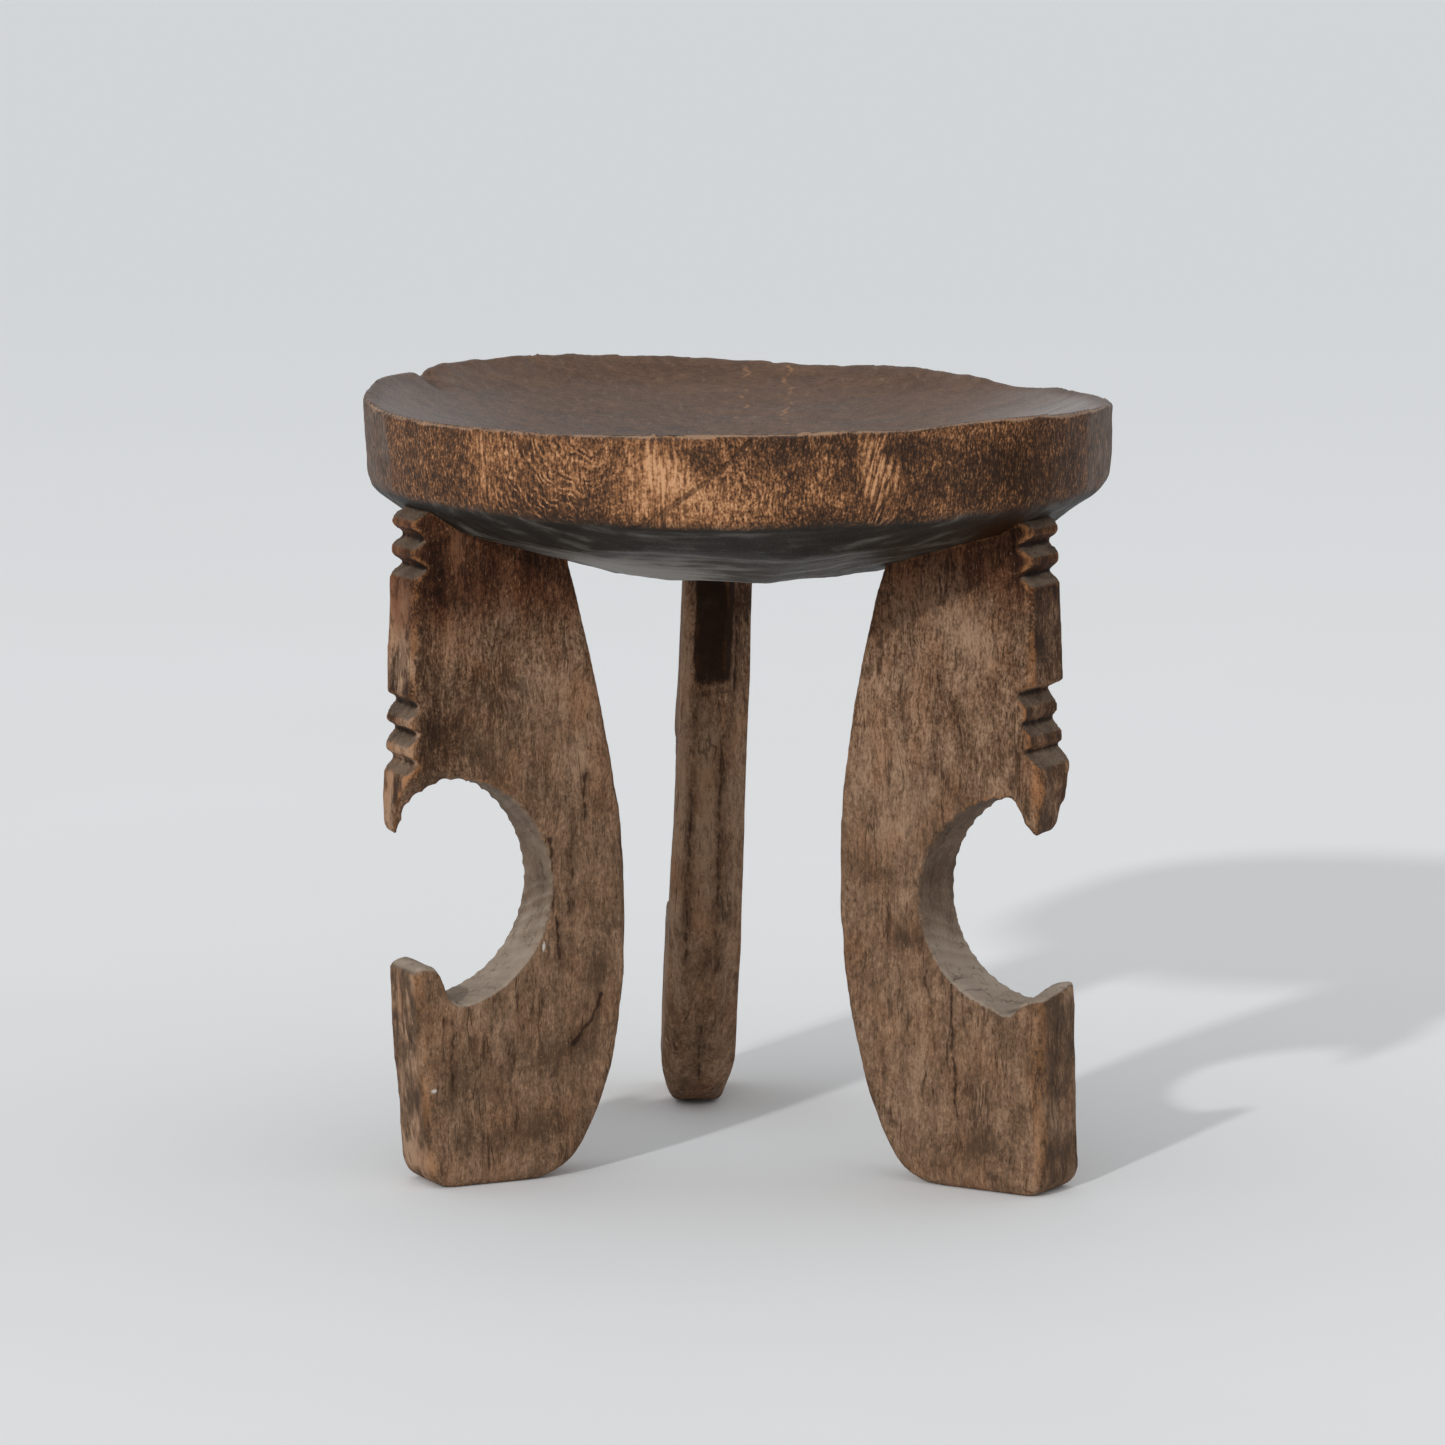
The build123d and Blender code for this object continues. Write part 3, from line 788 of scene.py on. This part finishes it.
def leg_wood():
    p = Paint("weathered_leg_wood")
    relief, cut = p.mark("relief"), p.mark("cut")
    bent = p.stir((20, 20, 30), 3, 7)
    fibre = p.noise((0.85, 0.85, 5.5), 1, 3, bent)
    grit = p.noise((0.8, 0.8, 1.3), 2, 3, bent)
    streak = p.noise((3.6, 3.6, 26), 4, 4, bent)
    blotch = p.noise((12, 12, 16), 5, 6)
    cloud = p.noise((55, 55, 70), 6, 2)

    flake = p.noise((1.9, 1.9, 3.4), 18, 2, bent)
    low = (p.z + cloud * 160).rise(215, 120)
    fineness = (fibre * 0.55 + grit * 0.75) * (1 - low * 0.3)
    tone = 0.53 + fineness + flake * 0.5 + streak * 0.42 + blotch * 0.54 + p.mark("tone") * 0.5
    colour = p.ladder(tone.rise(0.05, 0.95), (
        (0.0, tint(50, 33, 22)), (0.32, tint(87, 63, 45)),
        (0.6, tint(121, 93, 72)), (1.0, tint(166, 134, 108)),
    ))
    warm = p.noise((16, 16, 26), 12, 4).rise(-0.1, 0.25)
    colour = p.blend(warm * 0.5, colour, tint(246, 208, 170), "MULTIPLY")
    # Darker and redder near the top: partly the wood's own colour, partly painted shade from the seat
    # above.
    top = (p.z + cloud * 60 + blotch * 40).rise(218, 258)
    colour = p.blend(top * 0.85, colour, tint(160, 118, 88), "MULTIPLY")
    colour = p.blend(low * 0.16, colour, tint(144, 120, 97))

    # Light flecks, open pores, fine checks and dark stains.
    cluster = (blotch + p.noise((7, 7, 9), 13, 3)).rise(-0.15, 0.2)
    fleck = p.noise((0.9, 0.9, 2.0), 7, 2).rise(0.1, 0.22) * cluster * tone.rise(0.1, 0.4)
    colour = p.blend(fleck * 0.45, colour, tint(184, 142, 106))
    pore = p.noise((0.8, 0.8, 5), 8, 2, bent).rise(0.13, 0.22)
    colour = p.blend(pore * 0.5, colour, tint(44, 30, 22))
    stain = p.noise((8, 8, 14), 9, 6).rise(0.12, 0.22)
    colour = p.blend(stain * 0.5, colour, tint(58, 42, 32))
    checks = p.noise((6, 6, 60), 14, 4, bent).size().rise(0.03, 0.004)
    checks = checks * p.noise((10, 10, 24), 15, 2).rise(0.02, 0.14)
    colour = p.blend(checks * 0.6, colour, tint(46, 30, 21))
    broken = p.noise((4, 4, 4), 11, 3)
    vein = (p.mark("vein") + broken * 3.0).rise(1.1, 0.2)
    soft_vein = (p.mark("vein") + broken * 7).rise(3.6, 0.3)
    colour = p.blend(soft_vein * 0.35, colour, tint(66, 44, 30))
    colour = p.blend(vein * 0.75, colour, tint(42, 27, 18))

    # Worn edges show bright wood. Creases and hollows are darkened as painted shade.
    patchy = (p.noise((5, 5, 12), 10, 4) + grit * 0.8).rise(-0.1, 0.14)
    upper = p.z.rise(100, 175)
    edge = relief.rise(0.12, 0.46) * (0.2 + 0.7 * patchy) * (0.4 + 0.6 * upper)
    edge = edge.most(p.mark("corner") * patchy * (0.5 + 0.2 * upper))
    worn = p.blend(upper, tint(148, 101, 62), tint(168, 114, 72))
    colour = p.blend(edge * 0.72, colour, worn)

    # Upward faces are dusty grey, and so is the opening's wall.
    dusty = p.up.rise(0.25, 0.7) * (1 - edge) * 0.85
    grey = p.ladder((0.5 + blotch * 0.9 + grit * 0.7 + cut * 0.12).rise(0.15, 0.95), (
        (0.0, tint(78, 64, 52)), (1.0, tint(134, 116, 99)),
    ))
    pale = p.up.rise(-0.1, 0.8)
    grey = p.blend(pale * cut * 0.7, grey, tint(178, 163, 147))
    lines = p.noise((7, 7, 7), 16, 5).size().rise(0.035, 0.0)
    lines = lines * p.noise((9, 9, 9), 17, 2).rise(-0.05, 0.1)
    grey = p.blend(lines * 0.5, grey, tint(66, 52, 42))
    cut_share = cut * (0.7 + 0.3 * blotch.rise(-0.2, 0.2))
    colour = p.blend(cut_share.most(dusty), colour, grey)
    # Painted shade in the creases and notches.
    crease_shade = relief.rise(-0.07, -0.34)
    colour = p.blend(crease_shade * 0.9, colour, tint(24, 16, 11))
    speck = (p.mark("speck") + grit * 0.9).rise(0.3, 0.85)
    colour = p.blend(speck * 0.8, colour, tint(214, 208, 198))

    height = fibre * 0.3 + grit * 0.35 + streak * 0.3 + blotch * 0.4 - pore * 0.2 - checks * 0.3
    return p.coat(colour, 0.74 + grit * 0.3, height * (1 - 0.4 * cut), 0.12)


def seat_wood():
    p = Paint("carved_seat_wood")
    relief, dish, under = p.mark("relief"), p.mark("dish"), p.mark("under")
    across, strokes, swirled = p.mark("across"), p.mark("strokes"), p.mark("swirled")
    bent = p.stir((14, 14, 14), 21, 6)
    fibre = p.noise((0.9, 0.9, 4.5), 22, 3, bent)
    fine = p.noise((0.85, 0.85, 1.1), 23, 3)
    flake = p.noise((2.0, 2.0, 2.6), 40, 2, bent)
    blotch = p.noise((13, 13, 12), 24, 5)
    cloud = p.noise((45, 45, 30), 25, 2)
    bared = p.mark("bared")

    # Wall: dark reddish brown, bared to bright wood in strokes, swirls and speckles.
    leaned = p.lean(p.mark("slant") * -0.28)
    lined = p.noise((1.2, 1.2, 16), 27, 3, leaned) * (1.15 + 0.8 * p.mark("slant"))
    broken = p.noise((4, 4, 4), 28, 2).rise(-0.12, 0.15)
    rings = (p.mark("swirl") * 2.1 + p.noise((7, 7, 7), 26, 4) * 20).sine() * 0.26 * broken
    plain = fine * 0.95 + fibre * 0.95
    pattern = p.cross(strokes, p.cross(swirled, plain, rings + plain * 0.7), lined + fine * 0.6)
    wall_tone = 0.34 + (pattern + flake * 0.6) * 1.1 + blotch * 0.45 + cloud * 0.15 + bared * 0.4
    wall = p.ladder(wall_tone.rise(0.05, 0.95), (
        (0.0, tint(44, 26, 13)), (0.3, tint(84, 54, 32)), (0.52, tint(120, 79, 48)),
        (0.75, tint(160, 111, 73)), (1.0, tint(204, 154, 112)),
    ))
    fleck = p.noise((0.8, 0.8, 3.2), 38, 2, bent).rise(0.06, 0.2) * broken
    wall = p.blend(fleck * 0.55, wall, tint(184, 130, 86))
    fibrous = p.blend(fibre.rise(-0.2, 0.2), tint(62, 54, 48), tint(112, 102, 94))
    sides = (across.size() + blotch * 12).rise(178, 188) * across.size().rise(370, 280)
    wall = p.blend(sides * (0.55 + blotch), wall, fibrous)
    crack = (p.mark("crack") + p.noise((3, 3, 3), 36, 3) * 2.2).rise(1.2, 0.3)
    wall = p.blend(crack * 0.55, wall, tint(66, 42, 26))

    # Dish: rubbed smooth and dark.
    drawn = p.noise((46, 7, 9), 29, 4)
    mottle = p.noise((14, 10, 10), 37, 5)
    rubbed = p.noise((4, 1.0, 1.0), 30, 3) * 0.85 + p.noise((0.9, 0.9, 0.9), 39, 2) * 0.55
    dish_tone = 0.52 + drawn * 0.6 + mottle * 0.45 + rubbed + p.noise((5, 5, 5), 41, 5) * 0.5
    inside = p.ladder(dish_tone.rise(0.12, 0.88), (
        (0.0, tint(62, 46, 37)), (0.5, tint(88, 67, 54)), (1.0, tint(116, 88, 70)),
    ))
    inside = p.blend((p.y + cloud * 160).rise(20, 130) * 0.4, inside, tint(104, 73, 50))
    wiggle = p.noise((200, 11, 200), 31, 3) * 26
    for start, share in ((2, 0.45), (21, 0.55)):
        vein = (p.x - start + wiggle).size().rise(1.5, 0.4)
        broken = p.noise((6, 6, 6), 32 + start).rise(-0.05, 0.15)
        inside = p.blend(vein * broken * share, inside, tint(168, 124, 86))
    spots = p.noise((6, 6, 6), 33, 4).rise(0.19, 0.27)
    inside = p.blend(spots * 0.65, inside, tint(40, 29, 23))
    scuff = p.noise((3, 6, 3), 42, 3)
    inside = p.blend(scuff.rise(0.08, 0.25) * 0.4, inside, tint(132, 104, 86))
    inside = p.blend(scuff.rise(-0.1, -0.28) * 0.5, inside, tint(46, 33, 26))
    # Painted reflection: a grey sheen on the dish's slopes at the left and right.
    inside = p.blend(p.mark("painted_reflection") * (0.3 + drawn * 0.6), inside, tint(150, 142, 138))

    # Underside: dark, with a paler streaked facet at the front left, and brown painted shade at the
    # front right, where the wall's foot meets the right leg.
    under_streaks = p.noise((40, 7, 7), 34, 4)
    under_tone = 0.46 + under_streaks * 1.1 + blotch * 0.5 + p.mark("streaked") * 0.6
    beneath = p.ladder(under_tone.rise(0.1, 0.9), (
        (0.0, tint(30, 25, 19)), (0.5, tint(60, 53, 45)), (1.0, tint(138, 134, 128)),
    ))
    # Painted shade: the underside darker towards the wall's foot, under the rim.
    beneath = p.blend(p.z.rise(256, 274) * 0.6, beneath, tint(84, 76, 68), "MULTIPLY")
    front_right_shade = p.mark("front_right_shade")
    beneath = p.blend(front_right_shade * 0.95, beneath, tint(44, 25, 12))

    colour = p.blend(dish, wall, inside)
    colour = p.blend(under, colour, beneath)
    # Painted highlight: a pale line along the front of the rim's top edge.
    lip_highlight = (p.mark("lip_highlight") + fine * 0.9 + blotch * 1.4).rise(0.45, 1.0)
    colour = p.blend(lip_highlight * 0.6, colour, tint(178, 144, 116))
    # Painted shade in the seat's creases and hollows.
    colour = p.blend(relief.rise(-0.08, -0.5) * 0.6, colour, tint(34, 24, 18))

    roughness = 0.6 + fine * 0.5 + dish * (drawn * 0.3 - 0.14) - under * 0.05
    coarse = pattern * 0.45 + blotch * 0.4
    fine_dish = drawn * 0.25 + mottle * 0.4 + p.noise((4, 1.0, 1.0), 35, 2) * 0.06
    height = coarse * (1 - dish) * (1 - 0.5 * under) + fine_dish * dish - crack * 0.5
    specular = (0.22 + dish * 0.08) * (1 - front_right_shade * 0.8)
    return p.coat(colour, roughness, height, specular)


seat_piece.data.materials.append(seat_wood())
wood = leg_wood()
for piece in leg_pieces:
    piece.data.materials.append(wood)


# ---------------------------------------------------------------- floor, light, camera
def floor_paint():
    p = Paint("pale_floor")
    spot = p.noise((260, 260, 260), 50, 3)
    colour = p.blend(spot.rise(-0.3, 0.3), tint(242, 243, 243), tint(244, 245, 246))
    colour = p.blend(p.y.rise(300, 4000), colour, tint(233, 235, 236))
    return p.coat(colour, 0.7 + spot * 0.1, spot * 0.02, 0.06)


FLOOR_HALF = 40.0  # metres: it fills the view behind the stool
corners = [(x * FLOOR_HALF, y * FLOOR_HALF, 0.0) for x, y in ((-1, -1), (1, -1), (1, 1), (-1, 1))]
floor_mesh = bpy.data.meshes.new("floor")
floor_mesh.from_pydata(corners, [], [(0, 1, 2, 3)])
floor_mesh.materials.append(floor_paint())
floor = bpy.data.objects.new("floor", floor_mesh)
bpy.context.scene.collection.objects.link(floor)

FILL = 0.655  # strength of the even light from the whole room
FILL_COLOUR = (0.97, 0.985, 1.0, 1.0)
KEY = 1.2  # strength of the light from one side,
KEY_SPREAD = 0.045  # and how wide its source looks, in radians, which softens its shadow
TO_KEY = Vector((-0.43, -0.80, 0.43))  # from the front left, about 25 degrees up

world = bpy.data.worlds.new("studio")
world.use_nodes = True
world.node_tree.nodes["Background"].inputs["Color"].default_value = FILL_COLOUR
world.node_tree.nodes["Background"].inputs["Strength"].default_value = FILL
bpy.context.scene.world = world

key_data = bpy.data.lights.new("key", "SUN")
key_data.energy = KEY
key_data.angle = KEY_SPREAD
key = bpy.data.objects.new("key", key_data)
bpy.context.scene.collection.objects.link(key)
key.rotation_mode = "QUATERNION"
key.rotation_quaternion = (-TO_KEY).to_track_quat("-Z", "Y")

CAMERA_DISTANCE = 3.134  # metres in front of the stool's axis
CAMERA_HEIGHT = 0.660
AIM_HEIGHT = 0.183  # it looks at this height on the axis
CAMERA_SHIFT = -0.0064  # sideways, from the middle of the stool's box
SENSOR_WIDTH = 36.0  # millimetres, as the focal length is
FOCAL_LENGTH = 188.8
NEAREST, FARTHEST = 0.1, 200.0  # what the camera sees, in metres
camera_data = bpy.data.cameras.new("camera")
camera_data.sensor_width = SENSOR_WIDTH
camera_data.lens = FOCAL_LENGTH
camera = bpy.data.objects.new("camera", camera_data)
bpy.context.scene.collection.objects.link(camera)
middle_x = (cad_low.x + cad_high.x) / 2 + CAMERA_SHIFT
camera.location = (middle_x, -CAMERA_DISTANCE, CAMERA_HEIGHT)
aim = Vector((middle_x, 0, AIM_HEIGHT)) - camera.location
camera.rotation_mode = "QUATERNION"
camera.rotation_quaternion = aim.to_track_quat("-Z", "Y")
camera_data.clip_start, camera_data.clip_end = NEAREST, FARTHEST
bpy.context.scene.camera = camera
bpy.context.scene.view_settings.view_transform = "Standard"
